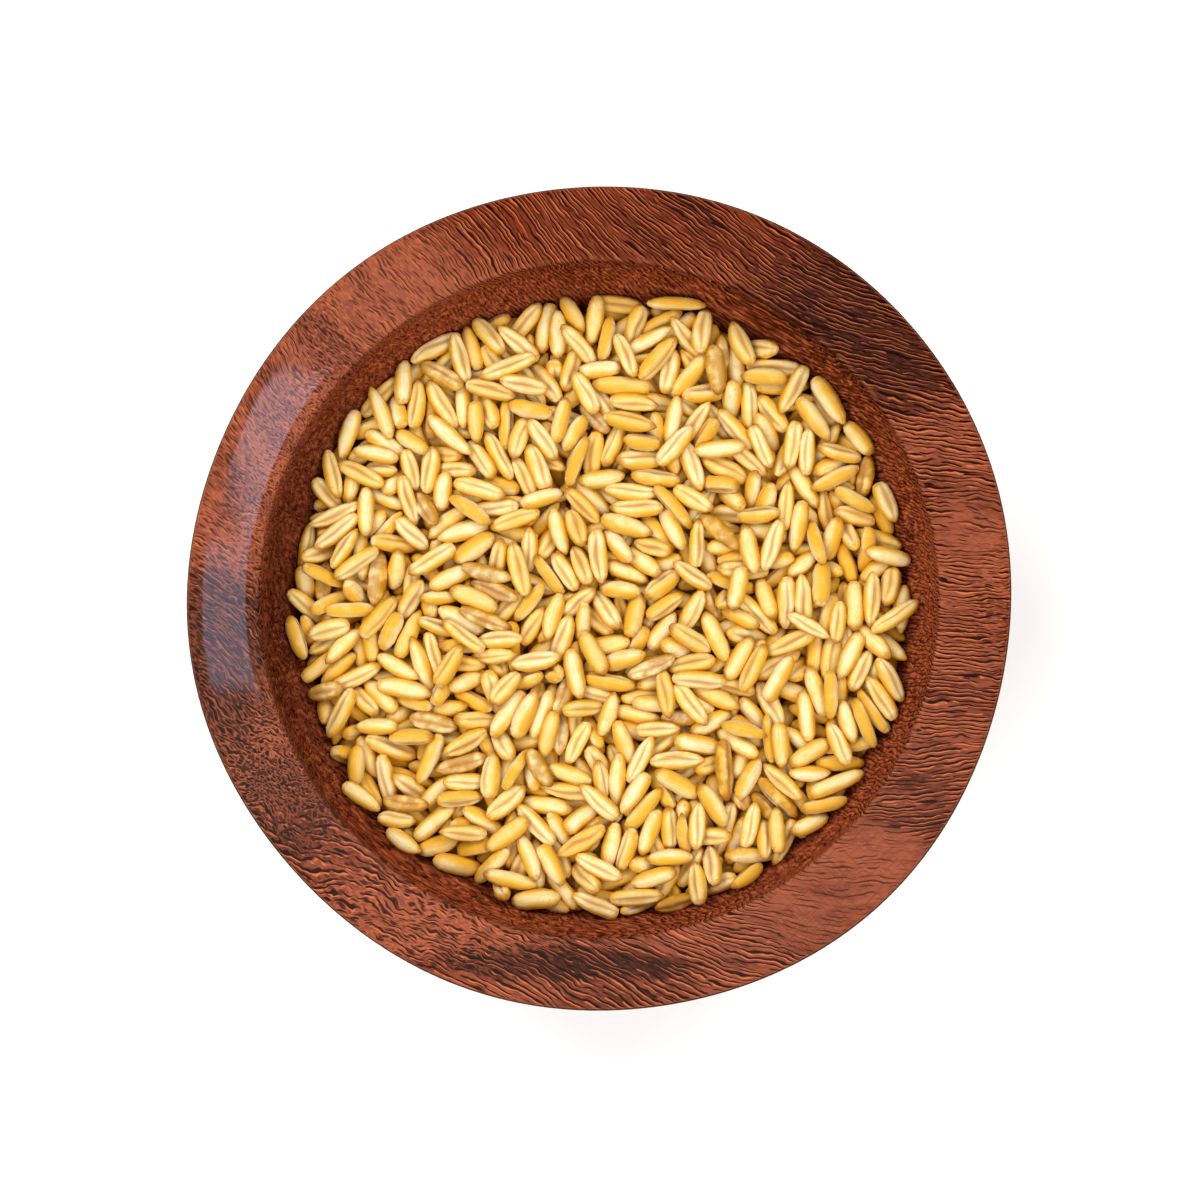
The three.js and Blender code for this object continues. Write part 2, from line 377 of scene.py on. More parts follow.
def run_of_the_fibres(w, x, y, z):
    """The place across the fibres, the depth in the block, and the slow zones of its colour.

    The fibres run along X but drop to the right. At the left edge they dive into the block."""
    rim = RIM_RADIUS / MM
    turn = x * (math.pi / rim) + 0.1 * math.pi
    lean = DROP * x + turn.math("SINE", turn) * (DROP_MIDDLE * rim / math.pi) + x * y * (DROP_BEHIND / rim)
    lean = lean + x.math("MINIMUM", x + BEND_LEFT, 0.0) * DROP_LEFT
    slow = w.noise(w.vector(x * 0.045, y * 0.045, z * 0.045 + 3.0), 0.0)
    ripple = w.noise(w.vector(x * 0.13, y * 0.13, z * 0.13), 0.0)
    fibre = y + lean + (slow - 0.5) * 4.0 + (ripple - 0.5) * 1.4
    dive = w.step(x, -36.0, -59.0)
    depth = z + dive * 15.0 + (slow - 0.5) * 5.0
    zone = w.noise(w.vector(x * 0.03 + 7.0, fibre * 0.12, depth * 0.12), 2.0, 0.55)
    return fibre, depth, zone


def patches(w, x, y, zone, listed):
    """How much of the listed patches a point has. The zones make their edges ragged."""
    total = 0.0
    for middle_x, middle_y, half_x, half_y, much in listed:
        away = ((x - middle_x) / half_x) ** 2.0 + ((y - middle_y) / half_y) ** 2.0 + (zone - 0.5) * 1.2
        total = (1.0 - w.step(away, 0.1, 1.5)) * much + total
    return total


def long_pores(w, x, across, depth, left, curly, quiet):
    """Two sets of wavy dark lines, which part and meet where one set gives way to the other.

    They break off in dashes, short ones at the left and in the curly patches, and thin out in the
    quiet ones. Each line has a painted highlight on its lower side: a thin bright line where its
    relief would catch the light."""
    drift = w.noise(w.vector(x * 0.14, across * 0.45, depth * 0.3 + 20.0), 1.0)
    other = w.noise(w.vector(x * 0.2, across * 0.6, depth * 0.3 + 80.0), 1.0)
    one_set = (across * LINES + depth * 0.3 + (drift - 0.5) * 1.8) * math.tau
    other_set = (across * OTHER_LINES + x * 0.05 + depth * 0.3 + (drift - 0.5) * 1.8 + 0.3) * math.tau
    give_way = w.step(other, 0.42, 0.58)
    dashes = w.noise(w.vector(x * 0.3, across * 0.9, depth * 0.5 + 60.0), 1.0)
    short_dashes = w.noise(w.vector(x * 0.75, across * 1.3, depth * 0.5 + 90.0), 0.5)
    crowd = w.noise(w.vector(x * 0.05, across * 0.2 + 5.0, depth * 0.2), 1.0)
    fewer = (dashes - 0.5) * 2.6 + (crowd - 0.5) * 0.8 + quiet * 0.6 - 0.05
    fewer = fewer + (short_dashes - 0.42) * left.math("MAXIMUM", left * 0.9, curly) * 4.5
    fewer = fewer.math("MAXIMUM", fewer, -0.05)

    def strands(turned_by):
        first = one_set.math("COSINE", one_set + turned_by)
        second = one_set.math("COSINE", other_set + turned_by)
        return first + (second - first) * give_way - fewer

    pore = w.step(strands(0.0) - left * 0.34, 0.12, 0.55)
    painted_glint = w.step(strands(GLINT_TURN), 0.68, 0.92) * (1.0 - left * 0.4)
    return pore, painted_glint


def short_pores(w, x, across, depth):
    """Ticks scattered between the long pores, each with a painted highlight round it."""
    cells = w.vector(x / TICK_LENGTH + 17.3, across / TICK_PITCH, depth / TICK_DEPTH)
    away = w.out("ShaderNodeTexVoronoi", {}, {"Vector": cells, "Scale": 1.0})
    pore = 1.0 - w.step(away, 0.24, 0.42)
    painted_glint = w.step(away, 0.42, 0.5) * (1.0 - w.step(away, 0.54, 0.68))
    return pore, painted_glint


def varnished_wood():
    """Dark pores run as wavy lines along X, with painted highlights beside them, over red and brown zones.
    """
    finish, w = material("varnished_wood")
    place = w.out("ShaderNodeTexCoord", {}, {}).called("Object")
    mm = w.out("ShaderNodeVectorMath", {"operation": "SCALE"}, {"Vector": place, "Scale": 1 / MM})
    x, y, z = mm.parts()
    fibre, depth, zone = run_of_the_fibres(w, x, y, z)
    dark = patches(w, x, y, zone, DARK_PATCHES)
    pale = patches(w, x, y, zone, PALE_PATCHES)
    curly = patches(w, x, y, zone, CURLY_PATCHES)
    quiet = w.step(pale, 0.3, 0.8)
    left = w.step(x, -14.0, -34.0) * w.step(y, -46.0, -28.0)
    curl = w.noise(w.vector(x * 0.5, y * 0.6, z * 0.6 + 9.0), 1.0)
    swirl = w.noise(w.vector(x * 0.25, y * 0.3, z * 0.2 + 33.0), 0.5)
    across = fibre + (curl - 0.5) * (0.9 + curly * 0.3) + (swirl - 0.5) * curly * 2.4
    long_pore, long_glint = long_pores(w, x, across, depth, left, curly, quiet)
    short_pore, short_glint = short_pores(w, x, across, depth)

    grain = w.noise(w.vector(x * 0.1, across * 0.9, depth * 0.8 + 30.0), 2.5, 0.7)
    tone = w.step(zone, 0.35, 0.65) * 0.5 + 0.2 + pale * 0.45 - dark - curly * 0.15
    tone = tone - left * 0.08 + (grain - 0.5) * (1.7 - left * 0.6)
    colour = w.mix(w.step(tone, 0.0, 1.0), RED_BROWN, SALMON)
    colour = w.mix(patches(w, x, y, zone, RUSSET_PATCHES) * 0.7, colour, RUSSET)
    colour = w.mix(w.step(tone, 0.25, -0.5) * 0.9, colour, HEARTWOOD_AND_SHADE)
    shine = 1.0 - dark * 0.4
    # Painted highlights: thin bright lines beside the long pores and round the short ones, where the relief
    # would catch the light.
    colour = w.mix(long_glint * (0.8 - quiet * 0.5) * shine, colour, FLECK_AND_GLINT)
    colour = w.mix(short_glint * (0.1 + left * 0.25 + curly * 0.3) * shine, colour, FLECK_AND_GLINT)
    # Sanding scratches cross the smooth patches both ways.
    one_way = w.noise(w.vector((x + y) * 2.8, (x - y) * 0.12, depth * 0.2), 0.0)
    other_way = w.noise(w.vector((x + y) * 0.12, (x - y) * 2.8, depth * 0.2 + 8.0), 0.0)
    scratches = w.step(one_way.math("MAXIMUM", one_way, other_way), 0.62, 0.72) * quiet * 0.3
    pores = long_pore.math("MAXIMUM", long_pore, short_pore * (0.3 + left * 0.6 + curly * 0.6))
    faint = quiet * 0.2 + left * w.step(y, -10.0, 10.0) * 0.15
    pores = pores.math("MAXIMUM", pores * (1.0 - faint), scratches)

    # The well was scraped along its wall and has no varnish on it, so it is browner, flecked and dull.
    # It is also darkest at the left: that is painted shade, where the wall turns from the light.
    from_axis_x, from_axis_y = x - well_axis.x / MM, y - well_axis.y / MM
    from_axis = (from_axis_x * from_axis_x + from_axis_y * from_axis_y) ** 0.5
    well = WELL_RADIUS / MM
    # 1 on the well's own half-ellipsoid, and 1.4 or more anywhere on the outside of the bowl.
    shell = (from_axis / well) ** 2.0 + ((BOWL_HEIGHT / MM - z) / (WELL_DEPTH / MM)) ** 2.0
    inside = w.step(shell, 1.3, 1.15)
    in_well = w.step(from_axis, well + 0.1, well - 0.6) * inside
    fleck = w.noise(w.vector(x * 0.3, across * 1.3, z * 0.9), 2.0, 0.65)
    colour = w.mix(in_well * 0.5, colour, WELL_BROWN)
    colour = w.mix(in_well * w.step(fleck, 0.48, 0.68) * 0.75, colour, FLECK_AND_GLINT)
    colour = w.mix(in_well * w.step(fleck, 0.46, 0.3) * 0.75, colour, PORE_AND_SHADE)
    # Painted shade: the left of the wall, which turns from the light, is darkened.
    colour = w.mix(in_well * w.step(x, -28.0, -52.0) * 0.5, colour, HEARTWOOD_AND_SHADE)
    pores = pores * (1.0 - in_well * 0.3)
    colour = w.mix(pores * 0.95, colour, PORE_AND_SHADE)
    # Painted reflection: a faint greyish veil of reflected light over the front and the left of the rim.
    colour = w.mix((w.step(y, 5.0, -40.0) + left) * (1.0 - in_well) * 0.02, colour, REFLECTED_VEIL)
    # The lip is paler in places, and the outer edge has a dark line round a lighter one. The dark line is
    # painted shade on the round-over.
    lip = w.step(abs(from_axis - well - 0.3), 0.6, 0.1) * inside
    colour = w.mix(lip * w.step(grain, 0.42, 0.6) * 0.2, colour, PALE_EDGE)
    edge = w.step(from_axis, well + 8.0, well + 9.0) * w.step(z, 42.9, 43.5)
    colour = w.mix(edge * w.step(z, 44.25, 44.05) * 0.25, colour, PALE_EDGE)
    # Painted shade: a dark line where the outer edge rounds over.
    edge_line = edge * w.step(z, 44.05, 43.85)
    colour = w.mix(edge_line * 0.7, colour, PORE_AND_SHADE)
    bare = edge * w.step(z, 44.48, 44.42) + w.step(from_axis, well + 1.0, well + 0.5) * inside

    # The varnish has sunk along the fibres.
    sunk = w.noise(w.vector(x * 0.5, fibre * 2.2, depth * 1.5), 0.0)
    bump = w.out("ShaderNodeBump", {}, {"Strength": 0.6, "Distance": 0.12 * MM, "Height": sunk})
    shader = w.out(
        "ShaderNodeBsdfPrincipled", {},
        {
            "Base Color": colour, "Roughness": 0.55, "Specular IOR Level": 0.0,
            "Coat Weight": 0.5 - bare * 0.5, "Coat Roughness": 0.06, "Normal": bump,
        },
    )
    w.node("ShaderNodeOutputMaterial", {}, {"Surface": shader})
    return finish


bowl = turned("bowl_wood", bowl_profile(), varnished_wood())
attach(bowl, "root")
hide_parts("bowl")


# ---------------------------------------------------------------------------------------------
# The bed of oats under those that show: kernels packed too deep to be seen, as one rough lump that
# fills the well up to a few kernels' depth below the surface.
# ---------------------------------------------------------------------------------------------
BED_TOP = 28 * MM
BED_GAP = 0.15 * MM
BED_LUMPS = 300.0
CREAM = paint(235, 218, 170)
STRAW = paint(233, 203, 122)
GOLD = paint(219, 160, 28)
TOAST_AND_SHADE = paint(152, 88, 6)
CREASE_BROWN = paint(190, 136, 38)
HAIR_WHITE = paint(238, 230, 200)


def bed_finish():
    finish, w = material("deep_kernels")
    place = w.out("ShaderNodeTexCoord", {}, {}).called("Object")
    scaled = w.out("ShaderNodeVectorMath", {"operation": "SCALE"}, {"Vector": place, "Scale": BED_LUMPS})
    # Painted shade: the bed is toast and gold, darker than the kernels above, for the shade deep between
    # them.
    colour = w.mix(w.step(w.noise(scaled, 2.0), 0.3, 0.7), TOAST_AND_SHADE, GOLD)
    shader = w.out("ShaderNodeBsdfPrincipled", {}, {"Base Color": colour, "Roughness": 0.7})
    w.node("ShaderNodeOutputMaterial", {}, {"Surface": shader})
    return finish


bed_share = math.sqrt(1 - ((BOWL_HEIGHT - BED_TOP) / WELL_DEPTH) ** 2)
bed_edge = (WELL_RADIUS - BED_GAP) * bed_share
bed_profile = [
    (0, BED_TOP),
    (bed_edge * 0.33, BED_TOP),
    (bed_edge * 0.66, BED_TOP),
] + [
    p for p in quarter_ellipse(0, BOWL_HEIGHT, WELL_RADIUS - BED_GAP, BED_GAP - WELL_DEPTH, 24)
    if p[1] < BED_TOP + 0.5 * MM
]
bed = turned("oats_bed", bed_profile[::-1], bed_finish())
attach(bed, "root")
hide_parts("oats")


# ---------------------------------------------------------------------------------------------
# The loose kernels. Naked oats, rubbed out of their husks: small spindles with a crease down one
# side, a germ at one end and a brush of hairs at the other. They were poured in and shaken level,
# so they lie mostly flat, in the layers that they settled into.
# ---------------------------------------------------------------------------------------------
KERNEL_COUNT = 1140
# In millimetres: the level that they are pressed to, and the round space that they drop from.
LEVEL = 34.9
DROP_RADIUS = 46
DROP_HEIGHT = 13
# The rounds in which they are moved: all of them, those that also shake them, and those under the lid.
SETTLING = 360
SHAKING = 180
LID_ON = 170
LID_OFF = 300
SINK = 0.07
TREMBLE = 0.12
BEAD_PLACES = np.array([-0.8, -0.45, 0.0, 0.45, 0.8])
BEAD_GIRTHS = np.array([0.66, 0.94, 1.0, 0.94, 0.66])


def unit(vectors):
    return vectors / np.linalg.norm(vectors, axis=1, keepdims=True)


def settle(dice, half_length, radius):
    """Drops the kernels, in millimetres round the well's axis, and eases them apart until they lie still.

    Each kernel is a straight row of five beads. Beads that meet push their kernels apart and turn them."""
    well, rim, deep, floor_height = WELL_RADIUS / MM, BOWL_HEIGHT / MM, WELL_DEPTH / MM, BED_TOP / MM
    count = len(half_length)
    beads_each = len(BEAD_PLACES)
    spread = np.sqrt(dice.random(count)) * DROP_RADIUS
    turn = dice.random(count) * math.tau
    drop = floor_height + 1.3 + dice.random(count) * DROP_HEIGHT
    centre = np.stack([spread * np.cos(turn), spread * np.sin(turn), drop], 1)
    lean = dice.normal(0, 0.25, count)
    azimuth = dice.random(count) * math.tau
    along = np.stack([np.cos(azimuth) * np.cos(lean), np.sin(azimuth) * np.cos(lean), np.sin(lean)], 1)
    gyration = half_length ** 2 * 0.24 + radius ** 2 * 0.25
    owner = np.repeat(np.arange(count), beads_each)
    reach = (half_length[:, None] * BEAD_PLACES).ravel()
    girth = (radius[:, None] * BEAD_GIRTHS).ravel()
    first, second = (grid.ravel() for grid in np.indices((beads_each, beads_each)))
    up = np.array([0, 0, 1.0])

    for shake in range(SETTLING):
        beads = centre[owner] + along[owner] * reach[:, None]
        if shake % 8 == 0:
            apart = ((centre[:, None] - centre[None]) ** 2).sum(2)
            near = apart < (half_length[:, None] + half_length[None] + 1.2) ** 2
            i, j = np.nonzero(np.triu(near, 1))
            a = (i[:, None] * beads_each + first).ravel()
            b = (j[:, None] * beads_each + second).ravel()
            close = ((beads[a] - beads[b]) ** 2).sum(1) < (girth[a] + girth[b] + 0.5) ** 2
            pair_a, pair_b = a[close], b[close]
        gap = beads[pair_a] - beads[pair_b]
        distance = np.sqrt((gap ** 2).sum(1)) + 1e-9
        overlap = girth[pair_a] + girth[pair_b] - distance
        hit = overlap > 0
        normal = gap[hit] / distance[hit][:, None]

        depth = rim - beads[:, 2]
        outside = (beads[:, :2] ** 2).sum(1) / well ** 2 + (depth / deep) ** 2 - 1
        slope = np.column_stack([2 * beads[:, :2] / well ** 2, -2 * depth / deep ** 2])
        steep = np.linalg.norm(slope, axis=1) + 1e-9
        in_wall = girth + 0.08 + outside / steep
        in_bed = floor_height + girth - 0.4 - beads[:, 2]
        over = beads[:, 2] + girth - LEVEL
        if not LID_ON < shake < LID_OFF:
            over[:] = -1
        wall, ground, lid = (np.nonzero(value > 0)[0] for value in (in_wall, in_bed, over))

        beads_hit = np.concatenate([pair_a[hit], pair_b[hit], wall, ground, lid])
        direction = np.concatenate([
            normal, -normal, -slope[wall] / steep[wall][:, None],
            np.tile(up, (len(ground), 1)), np.tile(-up, (len(lid), 1)),
        ])
        kernel = owner[beads_hit]
        arm = reach[beads_hit]
        sideways = direction - (direction * along[kernel]).sum(1)[:, None] * along[kernel]
        ease = 1 + arm ** 2 * (sideways ** 2).sum(1) / gyration[kernel]
        pairs = int(hit.sum())
        size = np.concatenate([overlap[hit], overlap[hit], in_wall[wall], in_bed[ground], over[lid] * 0.5])
        size[:pairs] /= ease[:pairs] + ease[pairs:2 * pairs]
        size[pairs:2 * pairs] = size[:pairs]
        size[2 * pairs:] /= ease[2 * pairs:]
        tip = size * arm / gyration[kernel]
        share = 3 / np.maximum(np.bincount(kernel, minlength=count), 3)
        move = [np.bincount(kernel, size * direction[:, axis], count) * share for axis in range(3)]
        swing = [np.bincount(kernel, tip * sideways[:, axis], count) * share for axis in range(3)]
        centre += np.stack(move, 1)
        along = unit(along + np.stack(swing, 1))
        centre[:, 2] -= SINK * max(0, 1 - max(0, shake - SHAKING) / 135) ** 1.5
        if shake < SHAKING and shake % 5 == 0:
            centre[:, :2] += dice.normal(0, TREMBLE * (1 - shake / SHAKING), (count, 2))
    return centre, along


RING_PLACES = (-0.93, -0.72, -0.38, 0.0, 0.38, 0.72, 0.93)
BOW_MIDDLE = 0.33
UNEVEN = 0.025


def kernel_form(name, crease_depth, crease_width, germ, brush, bend, swing, dice):
    """A kernel of unit size along X, with its crease up. It has 10 points round it and 7 rings.

    Germ and brush are its two ends, each as how late it narrows and how round it ends."""
    lip, crown = crease_width, crease_width + math.radians(28)
    angles = [0, lip, crown, math.radians(96), math.radians(140), math.pi]
    reaches = [1 - crease_depth, 0.95 - crease_depth * 0.15, 1.07, 1.0, 0.95, 0.93]
    angles += [-angle for angle in angles[4:0:-1]]
    reaches += reaches[4:0:-1]
    rows = []
    for place in RING_PLACES:
        sharp, blunt = germ if place < 0 else brush
        girth = (1 - abs(place) ** sharp) ** (1 / blunt)
        fade = 1 - max(0, abs(place) - 0.7) / 0.3
        row = []
        for angle, full_reach in zip(angles, reaches):
            reach = girth * (1 + (full_reach - 1) * fade + dice.normal(0, UNEVEN))
            row.append((place, reach * math.sin(angle), reach * math.cos(angle)))
        rows.append(row)
    # The whole kernel bows: its ends go one way by two thirds of the bend, and its middle the other.
    bow = [(x, x ** 2 - BOW_MIDDLE, y, z) for row in rows for x, y, z in row]
    points = [(x, y + swing * bowed, z + bend * bowed) for x, bowed, y, z in bow]
    germ_tip, brush_tip = len(points), len(points) + 1
    tip_bow = 1 - BOW_MIDDLE
    points += [(-1.0, swing * tip_bow, bend * tip_bow), (1.0, swing * tip_bow, bend * tip_bow)]
    around = len(angles)
    faces, maps = [], []
    back = angles.index(math.pi)
    turns = [(angle / math.tau + 0.5) % 1.0 if angle != math.pi else 1.0 for angle in angles]

    def turn_pair(k):
        """Where a lengthwise strip starts and ends round the kernel. The map's seam is on the back."""
        return 0.0 if k == back else turns[k], turns[(k + 1) % around]

    for r in range(len(RING_PLACES) - 1):
        for k in range(around):
            n = (k + 1) % around
            faces.append((r * around + k, r * around + n, (r + 1) * around + n, (r + 1) * around + k))
            v0, v1 = turn_pair(k)
            u0, u1 = ((RING_PLACES[r + i] + 1) / 2 for i in (0, 1))
            maps += [(u0, v0), (u0, v1), (u1, v1), (u1, v0)]
    last = (len(RING_PLACES) - 1) * around
    for k in range(around):
        n = (k + 1) % around
        v0, v1 = turn_pair(k)
        faces.append((germ_tip, n, k))
        maps += [(0.0, (v0 + v1) / 2), ((RING_PLACES[0] + 1) / 2, v1), ((RING_PLACES[0] + 1) / 2, v0)]
        faces.append((brush_tip, last + k, last + n))
        maps += [(1.0, (v0 + v1) / 2), ((RING_PLACES[-1] + 1) / 2, v0), ((RING_PLACES[-1] + 1) / 2, v1)]
    mesh = bpy.data.meshes.new(name)
    mesh.from_pydata(points, [], faces)
    layer = mesh.uv_layers.new(name="round_the_kernel")
    layer.data.foreach_set("uv", np.array(maps, np.float32).ravel())
    mesh.validate()
    return bpy.data.objects.new(name, mesh)


def scatter_tree(inputs):
    """Lays one of the forms at each point, dents them all a little, and paints them."""
    wiring, given = geometry_tree("kernels_where_they_lie", inputs)

    def own(name, kind):
        node = wiring.node("GeometryNodeInputNamedAttribute", {"data_type": kind}, {"Name": name})
        return Wire(wiring, next(s for s in node.outputs if s.enabled))

    forms = wiring.out(
        "GeometryNodeCollectionInfo", {}, {"Collection": given["Forms"], "Separate Children": True}
    )
    lie = wiring.out(
        "FunctionNodeAxesToRotation", {"primary_axis": "X", "secondary_axis": "Z"},
        {"Primary Axis": own("along", "FLOAT_VECTOR"), "Secondary Axis": own("crease_side", "FLOAT_VECTOR")},
    )
    laid = wiring.out(
        "GeometryNodeInstanceOnPoints", {},
        {
            "Points": given["Geometry"], "Instance": forms, "Pick Instance": True,
            "Instance Index": own("form", "INT"), "Rotation": lie, "Scale": own("size", "FLOAT_VECTOR"),
        },
    )
    loose = wiring.out("GeometryNodeRealizeInstances", {}, {"Geometry": laid})
    place = wiring.out("GeometryNodeInputPosition", {}, {})
    scaled = wiring.out(
        "ShaderNodeVectorMath", {"operation": "SCALE"}, {"Vector": place, "Scale": given["Dents"]}
    )
    dent = (wiring.noise(scaled, 1.0) - 0.5) * given["Dent depth"]
    normal = wiring.out("GeometryNodeInputNormal", {}, {})
    push = wiring.out("ShaderNodeVectorMath", {"operation": "SCALE"}, {"Vector": normal, "Scale": dent})
    dented = wiring.out("GeometryNodeSetPosition", {}, {"Geometry": loose, "Offset": push})
    # The forms are drawn with their faces inwards, so they are turned outwards here.
    outwards = wiring.out("GeometryNodeFlipFaces", {}, {"Mesh": dented})
    smooth = wiring.out("GeometryNodeSetShadeSmooth", {}, {"Geometry": outwards})
    painted = wiring.out("GeometryNodeSetMaterial", {}, {"Geometry": smooth, "Material": given["Finish"]})
    wiring.node("NodeGroupOutput", {}, {"Geometry": painted})
    return wiring.tree


# Heights in the well, in millimetres, between which the kernels are painted from pale to golden, for the
# golden light that lies deeper down.
PALE_ABOVE = 33.7
GOLDEN_BELOW = 31.2


def kernel_finish(name, toast):
    """Pale straw skin, golden on the sides partly by painted shade, with a brown crease, an amber germ and a
    pale brush.

    Toast says how much of the kernel has browned."""
    finish, w = material(name)
    place = w.out("ShaderNodeTexCoord", {}, {}).called("Object")
    u, v, _ = w.out("ShaderNodeUVMap", {"uv_map": "round_the_kernel"}, {}).parts()
    tone = w.out("ShaderNodeAttribute", {"attribute_name": "tone"}, {}).called("Fac")
    mm = w.out("ShaderNodeVectorMath", {"operation": "SCALE"}, {"Vector": place, "Scale": 1000.0})
    x, y, z = mm.parts()
    from_middle = abs(u - 0.5) * 2.0

    blotch = w.noise(w.vector(x * 0.5, y * 0.5, z * 0.5), 2.0)
    spot = w.noise(w.vector(x * 1.1 + 40.0, y * 1.1, z * 1.1), 1.0)
    streak = w.noise(w.vector(u * 3.0 + tone * 50.0, v * 30.0, tone * 90.0), 2.0, 0.6)
    drift = w.noise(w.vector(x * 0.2, y * 0.2, z * 0.2 + 15.0), 0.0)
    from_crease = abs(v - 0.5 + (drift - 0.5) * 0.14) * 2.0
    # Cream on the back and on the lobes beside the crease, straw and gold towards the flanks. The gold on
    # the flanks is partly the skin's own and partly painted shade, where the sides turn from the light.
    flank = 1.0 - w.step(abs(from_crease - 0.52), 0.08, 0.4)
    colour = w.mix(w.step(blotch + tone * 0.35 + flank * 0.5, 0.35, 1.05), CREAM, STRAW)
    colour = w.mix(flank * w.step(blotch + streak * 0.5, 0.25, 0.8) * 0.9, colour, GOLD)
    colour = w.mix(w.step(tone, 0.65, 1.1) * 0.45, colour, GOLD)
    colour = w.mix(w.step(spot + tone * 0.1, 0.58, 0.76) * 0.2, colour, GOLD)
    colour = w.mix(w.step(streak, 0.48, 0.68) * 0.35, colour, GOLD)
    ends = w.step(from_middle + (streak - 0.5) * 0.3, 0.68, 0.98)
    colour = w.mix(ends * (w.step(spot, 0.35, 0.6) * 0.4 + 0.5), colour, GOLD)
    speck = w.noise(w.vector(x * 2.4, y * 2.4, z * 2.4), 1.0)
    colour = w.mix(w.step(speck + from_middle * 0.25, 0.78, 0.9) * 0.35, colour, TOAST_AND_SHADE)
    germ = 1.0 - w.step(u + (streak - 0.5) * 0.24, 0.01, 0.17)
    colour = w.mix(germ * w.step(tone, 0.05, 0.5) * 0.75, colour, TOAST_AND_SHADE)
    hairs = w.step(u + (streak - 0.5) * 0.12, 0.9, 0.99) * w.step(blotch, 0.5, 0.62)
    colour = w.mix(hairs * 0.5, colour, HAIR_WHITE)
    # The crease is a soft brown valley, wider on some kernels than on others, darker in the middle.
    own_width = tone * 17.0
    own_width = own_width.math("FRACT", own_width)
    valley = from_crease / (own_width * 0.1 + 0.07) + from_middle * from_middle * 0.9
    colour = w.mix(w.step(valley, 1.5, 0.2) * 0.65, colour, CREASE_BROWN)
    middle_line = w.step(valley + (streak - 0.5) * 1.6, 0.7, 0.1)
    colour = w.mix(middle_line * (own_width * 0.45 + 0.1), colour, TOAST_AND_SHADE)
    # Painted light: lower down the light comes off one kernel after another and turns golden, so the kernels
    # there are painted golden.
    colour = w.mix(w.step(z, PALE_ABOVE, GOLDEN_BELOW) * 0.66, colour, GOLD)
    if toast:
        colour = w.mix(w.step(blotch, 0.3, 0.6) * toast, colour, TOAST_AND_SHADE)
    relief = streak * 0.6 + blotch * 0.4
    bump = w.out("ShaderNodeBump", {}, {"Strength": 0.5, "Distance": 0.1 * MM, "Height": relief})
    shader = w.out(
        "ShaderNodeBsdfPrincipled", {},
        {
            "Base Color": colour, "Roughness": 0.5, "Specular IOR Level": 0.2, "Normal": bump,
        },
    )
    w.node("ShaderNodeOutputMaterial", {}, {"Surface": shader})
    return finish


dice = np.random.default_rng(20817)
half_length = np.clip(dice.normal(7.9, 0.75, KERNEL_COUNT), 5.8, 9.8) / 2
half_width = np.clip(dice.normal(2.9, 0.2, KERNEL_COUNT), 2.3, 3.4) / 2
half_thickness = half_width * np.clip(dice.normal(0.88, 0.05, KERNEL_COUNT), 0.75, 1.0)
centre, along = settle(dice, half_length, (half_width + half_thickness) / 2)
centre = (centre + np.array(well_axis) / MM) * MM

# Half of them lie with the crease up, most of the others with it down, and the rest on their side.
CREASE_UP = 0.47
CREASE_DOWN = 0.43
lot = dice.random(KERNEL_COUNT)
roll = np.where(lot < CREASE_UP, 0, np.where(lot < CREASE_UP + CREASE_DOWN, math.pi, math.pi / 2))
roll = roll + dice.normal(0, 0.45, KERNEL_COUNT)
level = unit(np.cross(np.array([0, 0, 1.0]), along))
upward = np.cross(along, level)
crease_side = upward * np.cos(roll)[:, None] + level * np.sin(roll)[:, None]
tone = dice.random(KERNEL_COUNT)

# The kinds: the share of all kernels, how much of the skin has browned, and the forms.
KERNEL_KINDS = {
    "oats_plump": (0.4, 0, [
        dict(crease_depth=0.24, crease_width=0.3, germ=(2.7, 1.9), brush=(3.4, 2.3), bend=0.10, swing=0.05),
        dict(crease_depth=0.32, crease_width=0.36, germ=(2.6, 1.8), brush=(3.0, 2.0), bend=0.14,
             swing=-0.06),
        dict(crease_depth=0.28, crease_width=0.28, germ=(2.2, 1.5), brush=(3.8, 2.6), bend=0.06, swing=0.0),
    ]),
    "oats_slim": (0.26, 0, [
        dict(crease_depth=0.24, crease_width=0.26, germ=(2.0, 1.4), brush=(2.8, 2.0), bend=0.16, swing=0.1),
        dict(crease_depth=0.3, crease_width=0.3, germ=(2.6, 1.9), brush=(2.6, 1.8), bend=0.12, swing=-0.08),
    ]),
    "oats_open": (0.22, 0, [
        dict(crease_depth=0.4, crease_width=0.42, germ=(2.6, 1.9), brush=(3.2, 2.3), bend=0.16, swing=0.05),
        dict(crease_depth=0.5, crease_width=0.5, germ=(2.3, 1.7), brush=(3.6, 2.6), bend=0.12, swing=-0.06),
    ]),
    "oats_broken": (0.05, 0, [
        dict(crease_depth=0.3, crease_width=0.34, germ=(2.6, 2.0), brush=(6.0, 3.5), bend=0.08, swing=0.0),
    ]),
    "oats_toasted": (0.07, 0.6, [
        dict(crease_depth=0.4, crease_width=0.36, germ=(2.2, 1.6), brush=(2.6, 1.9), bend=0.2, swing=0.1),
        dict(crease_depth=0.35, crease_width=0.3, germ=(2.4, 1.8), brush=(2.8, 2.1), bend=0.14, swing=-0.08),
    ]),
}


